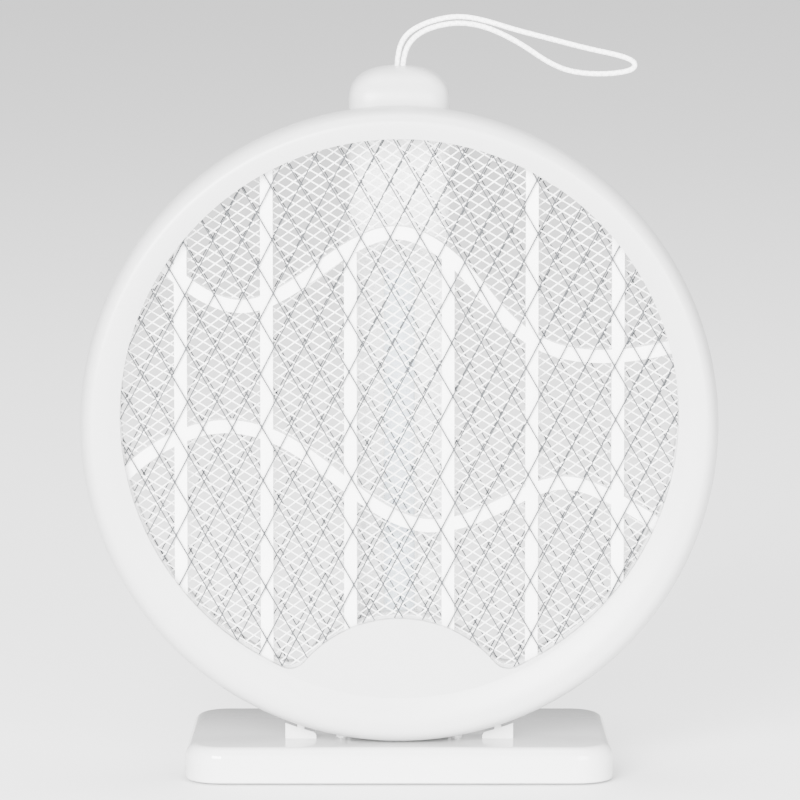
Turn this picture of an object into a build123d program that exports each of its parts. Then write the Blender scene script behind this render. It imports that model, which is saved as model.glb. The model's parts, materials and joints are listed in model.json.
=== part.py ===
"""Folding electric fly swatter on its charging base, in millimetres.

The front of the net faces -Y and +Z is up. The origin is under the middle of the base, on the table.
At rest the handle is folded up behind the round head, and the head stands in the base's cradle.
"""

import os
from math import pi, radians, sqrt, tan

from build123d import *

os.makedirs("parts", exist_ok=True)

# Driving dimensions: base
base_height = 13.0
base_front_width = 148.4
base_rear_width = 144.4
base_depth = 85.0
base_corner = 12.5
base_edge = 4.0
base_wall = 2.2
foot_height = 0.8

# Driving dimensions: head
ring_radius = 110.0
ring_gap = 0.3
ring_y = -24.0
ring_z = base_height + ring_gap + ring_radius
opening_radius = 96.0
opening_rise = 3.9
lobe_top = -66.3
lobe_radius = 43.0
lobe_corner = 6.5
crest_radius = 105.0
crest_depth = 12.5
face_depth = 10.3
rim_flat = 1.5
rim_roll = 4.0
shell_wall = 2.0
net_seat = 7.0
net_margin = 2.0

# Driving dimensions: nets and rib frames
net_thickness = 0.6
grid_wide = 10.14
grid_tall = 18.5
grid_strand = 0.7
grid_turn = 1.3
rib_width = 4.3
rib_thickness = 5.2
rib_places = (75.2, 45.6, 16.8)
wave_width = 4.5

# Driving dimensions: handle and hinge
handle_width = 35.0
handle_depth = 32.0
handle_front = ring_y + 15.0
handle_mid = handle_front + handle_depth / 2
handle_rear = handle_front + handle_depth
handle_bottom = ring_z - 88.5
handle_seam = ring_z + 98.0
handle_top = ring_z + 121.5
handle_corner = 7.5
handle_wall = 2.0
hinge_y = ring_y + 22.0
hinge_z = ring_z - 100.0
knuckle_radius = 8.5
knuckle_half = 9.8
ear_inner = 10.4
ear_outer = 17.0
pin_radius = 2.0

# Driving dimensions: lamp window in the handle
window_width = 29.0
window_top = ring_z + 60.7
window_bottom = ring_z - 78.0
well_depth = 8.0

# Rib lines and the nets' contact tabs, measured from the ring's centre as seen from the front
grid_knot = (-17.7, 37.6)
middle_rib_top = 60.0
upper_wave_points = [
    (-99.0, 74.0), (-81.0, 56.0), (-55.0, 41.6), (-26.6, 55.2), (0.3, 67.0),
    (22.4, 53.8), (36.5, 37.5), (50.6, 27.7), (69.0, 24.3), (100.0, 29.5),
]
lower_wave_points = [
    (-99.0, -22.0), (-81.1, -6.4), (-60.1, 0.0), (-41.5, -4.3), (-18.0, -20.6),
    (8.9, -34.4), (34.8, -27.6), (56.5, -19.6), (72.0, -24.1), (98.0, -40.0),
]
tab_width = 6.0
tab_length = 12.0
tab_spacing = 14.0
rib_seat = 0.5
strip_thickness = 0.4
board_thickness = 1.2
board_back = 5.0

# Fasteners
boss_below_crest = 1.8
boss_radius = 2.5
screw_radius = 1.0
screw_head_radius = 2.1
screw_seat = 8.0
front_hole_depth = 9.0
handle_screw_seat = 12.0
handle_hole_depth = 6.0
handle_boss_places = [
    (x, ring_z + height) for x in (-12.3, 12.3) for height in (-70.0, 0.0, 90.0)
]
base_boss_places = [(x, y) for x in (-62.0, 62.0) for y in (-10.0, 10.0)]
base_screw_radius = 1.2
base_head_radius = 2.4

# Hinge pieces
ear_web = 16.0
cap_radius = 4.6
cap_thickness = 1.2
bush_radius = 3.2
bush_length = 6.0
neck_front = handle_front + handle_wall
neck_rear = hinge_y + knuckle_radius

# Cradle, pegs and charging contacts
peg_x = 20.0
peg_y = ring_y + 6.0
peg_radius = 2.0
peg_height = 5.5
pad_pocket_width = 15.0
pad_pocket_depth = 5.0
pad_recess = 0.9
pad_thickness = 0.6
pin_spacing = 4.0
pin_block_width = 14.0
pin_block_depth = 5.0
contact_pin_radius = 0.8
rest_gap = 2.1
rest_front = 2.5
rest_depth = 8.0
rest_inner = 28.8
rest_outer = 39.5
rest_round = 1.6
pad_place = 34.2
pad_width = 2.4
back_rest_y = neck_rear + 1.5
back_rest_height = 12.0
plate_top = foot_height + 2.2
foot_radius = 6.0
foot_recess = 0.6
foot_spacing_x = 116.0
foot_spacing_y = 58.0
base_board_front = peg_y - 6.0
base_board_rear = base_depth / 2 - base_wall - 0.5
socket_width = 9.0
socket_height = 3.2
socket_low = plate_top + 0.4 + board_thickness

# Lamp and electronics in the handle
well_wall = 1.5
window_recess = 1.9
window_thickness = 1.0
lamp_low = ring_z - 76.0
lamp_high = ring_z + 52.0
lamp_board_width = 12.0
lamp_bar_width = 10.7
lamp_bar_height = 3.4
led_size = 3.5
led_height = 1.9
led_pitch = 18.0
led_count = 7
battery_radius = 9.25
battery_length = 65.0
battery_low = ring_z - 78.0
battery_y = handle_front + well_depth + well_wall + battery_radius + 0.4
main_board_width = 19.0
main_board_y = handle_mid + 8.0
board_low = ring_z - 6.0
board_high = ring_z + 84.0

# Controls on the handle's rear face
button_z = ring_z + 22.0
button_length = 22.0
button_width = 12.0
button_clearance = 0.35
button_proud = 1.8
tact_height = 1.2
button_stem_y = main_board_y + board_thickness + tact_height + 1.3
switch_z = ring_z + 62.0
switch_travel = 6.0
switch_start = switch_z - switch_travel / 2
switch_slot_length = 15.0
switch_slot_width = 6.0
switch_knob_length = 7.5
switch_plate = 0.8
switch_plate_length = 15.0
switch_proud = 1.4
switch_base_height = 2.0
light_z = ring_z + 43.0
light_radius = 1.5

# End cap and wrist lanyard. The dome's width is (1 - (1 - step) ** round) ** (1 / flank) of the handle's, where
# step runs from the dome's foot, 1, to nearly its top, 0
dome_height = 12.0
dome_round = 2.4
dome_flank = 2.3
dome_steps = (1.0, 0.7, 0.45, 0.25, 0.1, 0.03, 0.01)
cord_slot_width = 5.4
cord_slot_depth = 3.6
knot_top = handle_top - 7.0
lanyard_diameter = 1.8
upper_y = handle_mid + 0.7
lower_y = handle_mid - 0.7
lanyard_points = [
    (-0.9, upper_y, knot_top), (-0.8, upper_y, 244.4), (-0.4, upper_y, 248.6), (0.6, upper_y, 252.6),
    (3.0, upper_y, 256.0), (7.5, upper_y + 0.1, 258.8), (14.0, upper_y + 0.2, 261.0),
    (21.5, upper_y + 0.4, 261.9), (30.0, upper_y + 0.5, 260.3), (40.0, upper_y + 0.4, 257.1),
    (53.0, upper_y, 253.8), (66.0, upper_y - 0.1, 250.4), (76.3, upper_y - 0.3, 248.3),
    (82.0, handle_mid, 246.1), (81.3, lower_y + 0.4, 243.2), (74.0, lower_y + 0.1, 241.9),
    (65.0, lower_y - 0.1, 241.9), (57.5, lower_y - 0.2, 243.2), (50.5, lower_y - 0.2, 246.6),
    (43.5, lower_y - 0.2, 251.5), (36.0, lower_y - 0.2, 255.7), (28.5, lower_y - 0.1, 258.7),
    (20.5, lower_y - 0.1, 259.8), (12.5, lower_y, 258.5), (6.6, lower_y, 255.9), (3.2, lower_y, 252.4),
    (1.8, lower_y, 248.6), (1.15, lower_y, 244.4), (0.95, lower_y, knot_top),
]

# Planes that the pieces are drawn on. Front is the way the net faces.
front_view = Plane(origin=(0, ring_y, ring_z), x_dir=(1, 0, 0), z_dir=(0, -1, 0))
ring_section = Plane(origin=(0, ring_y, ring_z), x_dir=(1, 0, 0), z_dir=(0, 0, -1))
ring_axis = Axis((0, ring_y, ring_z), (0, -1, 0))
rear_view = Plane(origin=(0, ring_y, ring_z), x_dir=(-1, 0, 0), z_dir=(0, 1, 0))
hinge_plane = Plane(origin=(0, hinge_y, hinge_z), x_dir=(0, 1, 0), z_dir=(1, 0, 0))


def write(piece, name):
    """Labels a finished piece and writes its STEP file."""
    piece.part.label = name
    export_step(piece.part, f"parts/{name}.step")


def across(y):
    """A plane across Y at y, drawn as seen from behind, so that an extrusion of it grows to the rear."""
    return Plane(origin=(0, y, 0), x_dir=(-1, 0, 0), z_dir=(0, 1, 0))


# Outlines shared by the nets, the rib frames and the shells
def opening_outline(grow):
    """The net's opening in the head: a circle less the lobe, with rounded corners, grown by a margin."""
    with BuildSketch() as outline:
        with Locations((0, opening_rise)):
            Circle(opening_radius + grow)
        with Locations((0, lobe_top - lobe_radius)):
            Circle(lobe_radius - grow, mode=Mode.SUBTRACT)
        low_corners = outline.vertices().group_by(Axis.Y)[0]
        fillet(low_corners, lobe_corner + grow)
    return outline.sketch


opening = opening_outline(0)
lip_outline = opening_outline(shell_wall)
net_outline = opening_outline(net_margin - 0.2)


def half_shell_profile(wall):
    """Half section of a head shell, in by the wall: rim, rolled edge, crest and the flat that slopes inwards."""
    rim = ring_radius - wall
    crest = crest_depth - wall
    shoulder = crest_radius + 0.6 * (rim - crest_radius)
    with BuildSketch() as section:
        with BuildLine():
            Line((0, 0), (rim, 0))
            Line((rim, 0), (rim, rim_flat))
            Bezier((rim, rim_flat), (rim, crest - rim_roll), (shoulder, crest), (crest_radius, crest))
            Bezier((crest_radius, crest), (crest_radius - 5, crest), (98.0, crest - 1.6), (94.0, face_depth - wall))
            Line((94.0, face_depth - wall), (0, face_depth - wall))
            Line((0, face_depth - wall), (0, 0))
        make_face()
    return section.sketch


shell_section = half_shell_profile(0)
cavity_section = half_shell_profile(shell_wall)


def screw_places():
    """The eight screws that hold the two head shells together."""
    return PolarLocations(crest_radius, 8, start_angle=22.5)


# Head shells: both halves start from the same hollow half ring with its lobe and its lip
with BuildPart() as half_cavity:
    with BuildSketch(ring_section):
        add(cavity_section)
    revolve(axis=ring_axis)
    with BuildSketch(front_view):
        add(lip_outline)
    extrude(amount=crest_depth + 1, both=True, mode=Mode.SUBTRACT)

with BuildPart() as half_head:
    with BuildSketch(ring_section):
        add(shell_section)
    revolve(axis=ring_axis)
    add(half_cavity.part, mode=Mode.SUBTRACT)
    with BuildSketch(front_view):
        add(lip_outline)
    extrude(amount=net_seat, mode=Mode.SUBTRACT)
    with BuildSketch(front_view):
        add(opening)
    extrude(amount=crest_depth + 1, mode=Mode.SUBTRACT)

with BuildPart() as head_front_shell:
    add(half_head.part)
    with BuildSketch(front_view):
        with screw_places():
            Circle(boss_radius)
    extrude(amount=crest_depth - boss_below_crest)
    with BuildSketch(front_view):
        with screw_places():
            Circle(screw_radius + 0.02)
    extrude(amount=front_hole_depth, mode=Mode.SUBTRACT)
write(head_front_shell, "head_front_shell")

with BuildPart() as head_rear_shell:
    add(mirror(half_head.part, about=front_view))
    with BuildSketch(rear_view):
        with screw_places():
            Circle(boss_radius)
    extrude(amount=crest_depth - boss_below_crest)
    with BuildSketch(rear_view):
        with screw_places():
            Circle(screw_radius + 0.3)
    extrude(amount=crest_depth + 1, mode=Mode.SUBTRACT)
    with BuildSketch(rear_view.offset(screw_seat)):
        with screw_places():
            Circle(screw_head_radius + 0.2)
    extrude(amount=crest_depth, mode=Mode.SUBTRACT)
    # Two ears carry the hinge pin
    for side in (ear_inner, -ear_outer):
        with BuildSketch(hinge_plane.offset(side)):
            Circle(knuckle_radius)
            with Locations((-ear_web / 2, 0)):
                Rectangle(ear_web, 2 * knuckle_radius)
        extrude(amount=ear_outer - ear_inner)
    with BuildSketch(hinge_plane):
        Circle(pin_radius)
    extrude(amount=ear_outer, both=True, mode=Mode.SUBTRACT)
    # Sockets for the base's two pegs, and the pocket of the charging pads
    with BuildSketch(Plane.XY.offset(base_height)):
        with Locations((peg_x, peg_y), (-peg_x, peg_y)):
            Circle(peg_radius + 0.4)
    extrude(amount=8, mode=Mode.SUBTRACT)
    with BuildSketch(Plane.XY.offset(base_height)):
        with Locations((0, peg_y)):
            RectangleRounded(pad_pocket_width, pad_pocket_depth, 1)
    extrude(amount=ring_gap + pad_recess + pad_thickness, mode=Mode.SUBTRACT)
write(head_rear_shell, "head_rear_shell")

with BuildPart() as head_screws:
    with BuildSketch(rear_view.offset(screw_seat)):
        with screw_places():
            Circle(screw_head_radius)
    extrude(amount=1.6)
    with BuildSketch(rear_view.offset(screw_seat)):
        with screw_places():
            Circle(screw_radius)
    extrude(amount=-(screw_seat + front_hole_depth - 0.5))
write(head_screws, "head_screws")


# Nets. The two coarse outer ones are pierced; the fine charged one between them is a plain sheet
def diamond_wires(knot, turn, wide, tall, strand):
    """The outlines of tall diamond holes in staggered rows about a knot, all clear of the net's rim."""
    reach = wide * tall / 4 / sqrt((wide / 2) ** 2 + (tall / 2) ** 2)
    shrink = 1 - strand / 2 / reach
    corners = [(0, -tall / 2), (wide / 2, 0), (0, tall / 2), (-wide / 2, 0)]
    count = int(opening_radius / wide) + 2
    wires = []
    for row in range(-count, count):
        for column in range(-count, count):
            centre = ((column + 0.5 + row % 2 / 2) * wide, row * tall / 2)
            diamond = [Vector(centre[0] + x * shrink, centre[1] + y * shrink) for x, y in corners]
            turned = [point.rotate(Axis.Z, turn) + Vector(*knot) for point in diamond]
            in_ring = all((point - Vector(0, opening_rise)).length < opening_radius for point in turned)
            off_lobe = all((point - Vector(0, lobe_top - lobe_radius)).length > lobe_radius for point in turned)
            if in_ring and off_lobe:
                wires.append(Wire.make_polygon(turned, close=True))
    return wires


def net(plane, wires, tab_x):
    """A net cut to its outline, with a tab that reaches down into the lobe for its contact."""
    with BuildSketch() as blank:
        add(net_outline)
        with Locations((tab_x, lobe_top - tab_length / 2)):
            Rectangle(tab_width, tab_length)
    pierced = Face(blank.faces()[0].outer_wire(), wires)
    with BuildPart() as sheet:
        with BuildSketch(plane):
            add(pierced)
        extrude(amount=net_thickness)
    return sheet


coarse_cut = diamond_wires(grid_knot, grid_turn, grid_wide, grid_tall, grid_strand)
front_grid = net(front_view.offset(net_seat - net_thickness), coarse_cut, -tab_spacing)
write(front_grid, "front_grid")
rear_grid = net(front_view.offset(-net_seat), coarse_cut, tab_spacing)
write(rear_grid, "rear_grid")
middle_mesh = net(front_view.offset(-net_thickness / 2), [], 0)
write(middle_mesh, "middle_mesh")


# Rib frames hold the nets apart
def wave(points):
    """A wavy rib along a smooth line through its crests and troughs."""
    with BuildSketch() as band:
        with BuildLine() as middle_line:
            Spline(*points)
        trace(middle_line.line, line_width=wave_width)
    return band.sketch


def ribs(places, width, top):
    """Upright ribs at plus and minus each place; the pair nearest the middle stops at its top."""
    with BuildSketch() as uprights:
        for place in places:
            height = top if place == min(places) else opening_radius + opening_rise
            for side in (-1, 1):
                with Locations((side * place, (height - opening_radius) / 2)):
                    Rectangle(width, height + opening_radius)
    return uprights.sketch


def rib_frame(plane, width, waves):
    """A rim that the shells' lips hide, with its ribs and waves."""
    with BuildSketch() as inner:
        add(ribs(rib_places, width, middle_rib_top))
        for band in waves:
            add(band)
        add(opening_outline(0.8), mode=Mode.INTERSECT)
    with BuildPart() as frame:
        with BuildSketch(plane):
            add(net_outline)
            add(opening_outline(0.2), mode=Mode.SUBTRACT)
            add(inner.sketch)
        extrude(amount=rib_thickness)
    return frame


upper_wave = wave(upper_wave_points)
lower_wave = wave(lower_wave_points)
front_rib_frame = rib_frame(front_view.offset(rib_seat), rib_width, [upper_wave, lower_wave])
write(front_rib_frame, "front_rib_frame")
rear_rib_frame = rib_frame(front_view.offset(-rib_seat - rib_thickness), rib_width - 1.2, [])
write(rear_rib_frame, "rear_rib_frame")

# Contact board in the lobe, and the brass strips that reach the three nets' tabs
with BuildPart() as lobe_board:
    with BuildSketch(front_view.offset(-board_back)):
        with Locations((0, lobe_top - 29)):
            RectangleRounded(34, 18, 1.5)
    extrude(amount=board_thickness)
write(lobe_board, "lobe_board")

with BuildPart() as net_contacts:
    strip_backs = (net_seat - net_thickness - strip_thickness, net_thickness / 2, net_thickness - net_seat)
    for index, strip_back in enumerate(strip_backs):
        place = (index - 1) * tab_spacing
        with BuildSketch(front_view.offset(strip_back)):
            with Locations((place, lobe_top - 13)):
                Rectangle(tab_width - 1, 13)
        extrude(amount=strip_thickness)
write(net_contacts, "net_contacts")

with BuildPart() as discharge_resistor:
    with BuildSketch(Plane.YZ.offset(-5)):
        with Locations((ring_y + board_back - board_thickness - 1.6, ring_z + lobe_top - 30)):
            Circle(1.5)
    extrude(amount=10)
write(discharge_resistor, "discharge_resistor")

with BuildPart() as charging_pads:
    with BuildSketch(Plane.XY.offset(base_height + ring_gap + pad_recess)):
        with Locations((-pin_spacing, peg_y), (pin_spacing, peg_y)):
            RectangleRounded(4, 3.6, 0.5)
    extrude(amount=pad_thickness)
write(charging_pads, "charging_pads")

# Hinge: a steel pin pressed into the ears, bushes in the handle's knuckle, washers between
with BuildPart() as hinge_pin:
    with BuildSketch(hinge_plane):
        Circle(pin_radius)
    extrude(amount=ear_outer, both=True)
write(hinge_pin, "hinge_pin")

with BuildPart() as hinge_caps:
    for side in (ear_outer, -ear_outer - cap_thickness):
        with BuildSketch(hinge_plane.offset(side)):
            Circle(cap_radius)
        extrude(amount=cap_thickness)
    chamfer(hinge_caps.edges().filter_by(GeomType.CIRCLE).group_by(Axis.X)[0], 0.4)
    chamfer(hinge_caps.edges().filter_by(GeomType.CIRCLE).group_by(Axis.X)[-1], 0.4)
write(hinge_caps, "hinge_caps")

with BuildPart() as friction_washers:
    for side in (knuckle_half + 0.1, -ear_inner + 0.1):
        with BuildSketch(hinge_plane.offset(side)):
            Circle(6.0)
            Circle(pin_radius + 0.1, mode=Mode.SUBTRACT)
        extrude(amount=ear_inner - knuckle_half - 0.2)
write(friction_washers, "friction_washers")

with BuildPart() as hinge_bushes:
    for side in (knuckle_half - bush_length, -knuckle_half):
        with BuildSketch(hinge_plane.offset(side)):
            Circle(bush_radius)
            Circle(pin_radius + 0.05, mode=Mode.SUBTRACT)
        extrude(amount=bush_length)
write(hinge_bushes, "hinge_bushes")

with BuildPart() as hinge_knuckle:
    with BuildSketch(hinge_plane.offset(-knuckle_half)):
        Circle(knuckle_radius)
        with Locations(((neck_front + neck_rear) / 2 - hinge_y, (handle_bottom + 4 - hinge_z) / 2)):
            Rectangle(neck_rear - neck_front, handle_bottom + 4 - hinge_z)
    extrude(amount=2 * knuckle_half)
    with BuildSketch(Plane.XY.offset(handle_bottom + handle_wall + 0.1)):
        with Locations((0, (neck_front + neck_rear) / 2)):
            RectangleRounded(2 * knuckle_half + 5, neck_rear - neck_front - 0.4, 5)
    extrude(amount=5)
    with BuildSketch(hinge_plane):
        Circle(bush_radius)
    extrude(amount=knuckle_half, both=True, mode=Mode.SUBTRACT)
write(hinge_knuckle, "hinge_knuckle")


# Handle shells
def handle_plan(inset):
    """The handle's rounded rectangle in plan, in by the inset."""
    with BuildSketch() as plan:
        with Locations((0, handle_mid)):
            width = handle_width - 2 * inset
            depth = handle_depth - 2 * inset
            RectangleRounded(width, depth, handle_corner - inset)
    return plan.sketch


def window_outline(grow):
    """The lamp window seen from the rear side: straight sides under a round arch."""
    half = window_width / 2 + grow
    spring_line = window_top - window_width / 2
    with BuildSketch() as outline:
        with Locations((0, (spring_line + window_bottom - grow) / 2)):
            Rectangle(2 * half, spring_line - window_bottom + grow)
        with Locations((0, spring_line)):
            Circle(half)
    return outline.sketch


with BuildPart() as handle_blank:
    with BuildSketch(Plane.XY.offset(handle_bottom)):
        add(handle_plan(0))
    extrude(amount=handle_seam - handle_bottom)
    low_edges = handle_blank.faces().sort_by(Axis.Z)[0].edges()
    fillet(low_edges, 2.0)
    with BuildSketch(Plane.XY.offset(handle_bottom + handle_wall)):
        add(handle_plan(handle_wall))
    extrude(amount=handle_seam, mode=Mode.SUBTRACT)

with BuildPart() as handle_front_shell:
    add(handle_blank.part)
    # Screw bosses end at the seam between the shells
    with BuildSketch(across(handle_front + 1)):
        with Locations(*handle_boss_places):
            Circle(boss_radius)
    extrude(amount=handle_depth / 2 - 1)
    # Lamp well: a tray with its own floor and walls behind the window
    with BuildSketch(across(handle_front + handle_wall - 0.5)):
        add(window_outline(well_wall))
    extrude(amount=well_depth + well_wall - handle_wall + 0.5)
    with BuildSketch(across(handle_front - 1)):
        add(window_outline(0))
    extrude(amount=well_depth + 1, mode=Mode.SUBTRACT)
    with BuildSketch(across(handle_mid - handle_hole_depth)):
        with Locations(*handle_boss_places):
            Circle(screw_radius + 0.02)
    extrude(amount=handle_depth / 2, mode=Mode.SUBTRACT)
    with BuildSketch(Plane.XY.offset(handle_bottom - 1)):
        with Locations((0, (neck_front + neck_rear) / 2)):
            Rectangle(2 * knuckle_half + 0.2, neck_rear - neck_front + 0.2)
    extrude(amount=handle_wall + 1.1, mode=Mode.SUBTRACT)
    split(bisect_by=across(handle_mid), keep=Keep.BOTTOM)
write(handle_front_shell, "handle_front_shell")

with BuildPart() as handle_rear_shell:
    add(handle_blank.part)
    with BuildSketch(across(handle_mid)):
        with Locations(*handle_boss_places):
            Circle(boss_radius)
    extrude(amount=handle_depth / 2 - 1)
    with BuildSketch(across(handle_mid)):
        with Locations(*handle_boss_places):
            Circle(screw_radius + 0.3)
    extrude(amount=handle_depth, mode=Mode.SUBTRACT)
    with BuildSketch(across(handle_mid + handle_screw_seat)):
        with Locations(*handle_boss_places):
            Circle(screw_head_radius + 0.2)
    extrude(amount=handle_depth, mode=Mode.SUBTRACT)
    with BuildSketch(across(handle_mid + 8)):
        with Locations((0, button_z)):
            SlotOverall(button_length + 2 * button_clearance, button_width + 2 * button_clearance, 90)
        with Locations((0, switch_z)):
            RectangleRounded(switch_slot_width, switch_slot_length, 1.4)
        with Locations((0, light_z)):
            Circle(light_radius)
    extrude(amount=handle_depth, mode=Mode.SUBTRACT)
    split(bisect_by=across(handle_mid), keep=Keep.TOP)
write(handle_rear_shell, "handle_rear_shell")


def cap_block(inset):
    """The end cap's solid shape, in by the inset: straight sides under a dome lofted through its steps."""
    top = handle_top - inset
    width = handle_width - 2 * inset
    depth = handle_depth - 2 * inset
    with BuildPart() as block:
        with BuildSketch(Plane.XY.offset(handle_seam)):
            add(handle_plan(inset))
        extrude(amount=top - dome_height - handle_seam)
        for step in dome_steps:
            share = (1 - (1 - step) ** dome_round) ** (1 / dome_flank)
            fall = dome_height * (step - dome_steps[-1]) / (1 - dome_steps[-1])
            corner = (handle_corner - inset) * share
            with BuildSketch(Plane.XY.offset(top - fall)):
                with Locations((0, handle_mid)):
                    RectangleRounded(width * share, depth * share, min(corner, 0.45 * depth * share))
        loft()
    return block.part


with BuildPart() as handle_end_cap:
    add(cap_block(0))
    add(cap_block(handle_wall), mode=Mode.SUBTRACT)
    with BuildSketch(Plane.XY.offset(handle_seam)):
        with Locations((0, handle_mid)):
            RectangleRounded(cord_slot_width, cord_slot_depth, cord_slot_depth / 2 - 0.01)
    extrude(amount=handle_top - handle_seam + 1, mode=Mode.SUBTRACT)
write(handle_end_cap, "handle_end_cap")

with BuildPart() as handle_screws:
    with BuildSketch(across(handle_mid + handle_screw_seat)):
        with Locations(*handle_boss_places):
            Circle(screw_head_radius)
    extrude(amount=1.6)
    with BuildSketch(across(handle_mid - handle_hole_depth + 0.5)):
        with Locations(*handle_boss_places):
            Circle(screw_radius)
    extrude(amount=handle_screw_seat + handle_hole_depth - 0.5)
write(handle_screws, "handle_screws")

# Lamp: board and lights on the well's floor, a diffuser bar over them, and a clear window in front
well_floor = handle_front + well_depth
with BuildPart() as led_board:
    with BuildSketch(across(well_floor - board_thickness)):
        with Locations((0, (lamp_low + lamp_high) / 2)):
            RectangleRounded(lamp_board_width, lamp_high - lamp_low, 1)
    extrude(amount=board_thickness)
write(led_board, "led_board")

with BuildPart() as uv_leds:
    with BuildSketch(across(well_floor - board_thickness - led_height)):
        with Locations((0, (lamp_low + lamp_high) / 2)):
            with GridLocations(1, led_pitch, 1, led_count):
                Rectangle(led_size, led_size)
    extrude(amount=led_height)
write(uv_leds, "uv_leds")

with BuildPart() as lamp_diffuser:
    with BuildSketch(Plane.XY.offset(lamp_low)):
        with Locations((0, well_floor - board_thickness)):
            Ellipse(lamp_bar_width / 2, lamp_bar_height)
            Ellipse(lamp_bar_width / 2 - 1, lamp_bar_height - 1, mode=Mode.SUBTRACT)
            with Locations((0, lamp_bar_height)):
                Rectangle(lamp_bar_width, 2 * lamp_bar_height, mode=Mode.SUBTRACT)
    extrude(amount=lamp_high - lamp_low)
write(lamp_diffuser, "lamp_diffuser")

with BuildPart() as lamp_window:
    with BuildSketch(across(handle_front + window_recess)):
        add(window_outline(-0.15))
    extrude(amount=window_thickness)
write(lamp_window, "lamp_window")

# Electronics behind the lamp well
with BuildPart() as battery_cell:
    with BuildSketch(Plane.XY.offset(battery_low)):
        with Locations((0, battery_y)):
            Circle(battery_radius)
    extrude(amount=battery_length)
    fillet(battery_cell.edges().filter_by(GeomType.CIRCLE), 0.8)
write(battery_cell, "battery_cell")

with BuildPart() as battery_contacts:
    for height in (battery_low - 0.6, battery_low + battery_length + 0.1):
        with BuildSketch(Plane.XY.offset(height)):
            with Locations((0, battery_y)):
                Rectangle(9, 9)
        extrude(amount=0.5)
write(battery_contacts, "battery_contacts")

with BuildPart() as main_board:
    with BuildSketch(across(main_board_y)):
        with Locations((0, (board_low + board_high) / 2)):
            RectangleRounded(main_board_width, board_high - board_low, 1)
    extrude(amount=board_thickness)
write(main_board, "main_board")

with BuildPart() as hv_transformer:
    with BuildSketch(across(main_board_y - 9)):
        with Locations((0, board_low + 14)):
            Rectangle(14, 16)
    extrude(amount=9)
    chamfer(hv_transformer.edges().filter_by(Axis.Y), 1)
write(hv_transformer, "hv_transformer")

with BuildPart() as hv_capacitors:
    with BuildSketch(Plane.XY.offset(board_low + 28)):
        with Locations((-6, main_board_y - 4.2), (6, main_board_y - 4.2)):
            Circle(4)
    extrude(amount=16)
    fillet(hv_capacitors.edges().filter_by(GeomType.CIRCLE), 1)
write(hv_capacitors, "hv_capacitors")

with BuildPart() as tact_switch:
    with BuildSketch(across(main_board_y + board_thickness)):
        with Locations((0, button_z)):
            Rectangle(6, 6)
    extrude(amount=tact_height)
write(tact_switch, "tact_switch")

with BuildPart() as mode_switch_base:
    with BuildSketch(across(main_board_y + board_thickness)):
        with Locations((0, switch_z)):
            Rectangle(6, 13)
    extrude(amount=switch_base_height)
write(mode_switch_base, "mode_switch_base")

with BuildPart() as status_light:
    with BuildSketch(across(main_board_y + board_thickness)):
        with Locations((0, light_z)):
            Circle(light_radius - 0.05)
    extrude(amount=handle_rear - main_board_y - board_thickness)
write(status_light, "status_light")

# The two controls that move
with BuildPart() as zap_button:
    with BuildSketch(across(handle_rear - handle_wall + 0.2)):
        with Locations((0, button_z)):
            SlotOverall(button_length, button_width, 90)
    extrude(amount=handle_wall - 0.2 + button_proud)
    fillet(zap_button.faces().sort_by(Axis.Y)[-1].edges(), 1.0)
    with BuildSketch(across(button_stem_y)):
        with Locations((0, button_z)):
            Circle(2.0)
    extrude(amount=handle_rear - handle_wall + 0.3 - button_stem_y)
write(zap_button, "zap_button")

with BuildPart() as mode_switch:
    with BuildSketch(across(handle_rear - handle_wall - switch_plate - 0.1)):
        with Locations((0, switch_start)):
            Rectangle(switch_slot_width + 4, switch_plate_length)
    extrude(amount=switch_plate)
    with BuildSketch(across(handle_rear - handle_wall - 0.2)):
        with Locations((0, switch_start)):
            RectangleRounded(switch_slot_width - 0.6, switch_knob_length, 1.2)
    extrude(amount=handle_wall + 0.2 + switch_proud)
    grip_faces = mode_switch.faces().sort_by(Axis.Y)[-1]
    chamfer(grip_faces.edges(), 0.4)
    with BuildSketch(across(handle_rear + switch_proud)):
        with Locations((0, switch_start)):
            with GridLocations(1, 1.6, 1, 3):
                Rectangle(switch_slot_width, 0.6)
    extrude(amount=-0.5, mode=Mode.SUBTRACT)
write(mode_switch, "mode_switch")

# Wrist lanyard: a knot inside the cap and one doubled cord through its slot
with BuildPart() as lanyard_knot:
    with BuildSketch(Plane.XY.offset(knot_top - 5.5)):
        with Locations((0, handle_mid)):
            Circle(3.4)
    extrude(amount=5.5)
    fillet(lanyard_knot.edges().filter_by(GeomType.CIRCLE), 1.0)
write(lanyard_knot, "lanyard_knot")


def run_lengths(points):
    """The straight distance from each point of a route to the next."""
    return [(Vector(*b) - Vector(*a)).length for a, b in zip(points, points[1:])]


def bend_radii(points):
    """For each corner, 0.45 of its shorter run over the tangent of half its turn."""
    runs = run_lengths(points)
    radii = []
    for i in range(1, len(points) - 1):
        before = Vector(*points[i]) - Vector(*points[i - 1])
        after = Vector(*points[i + 1]) - Vector(*points[i])
        half_turn = radians(before.get_angle(after)) / 2
        radii.append(0.45 * min(runs[i - 1], runs[i]) / tan(half_turn))
    return radii


lanyard_radii = bend_radii(lanyard_points)
with BuildPart() as lanyard:
    with BuildLine() as lanyard_route:
        FilletPolyline(*lanyard_points, radius=lanyard_radii)
    with BuildSketch(Plane(origin=lanyard_points[0], z_dir=(0, 0, 1))):
        Circle(lanyard_diameter / 2)
    sweep(path=lanyard_route.wires()[0])
write(lanyard, "lanyard")

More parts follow.
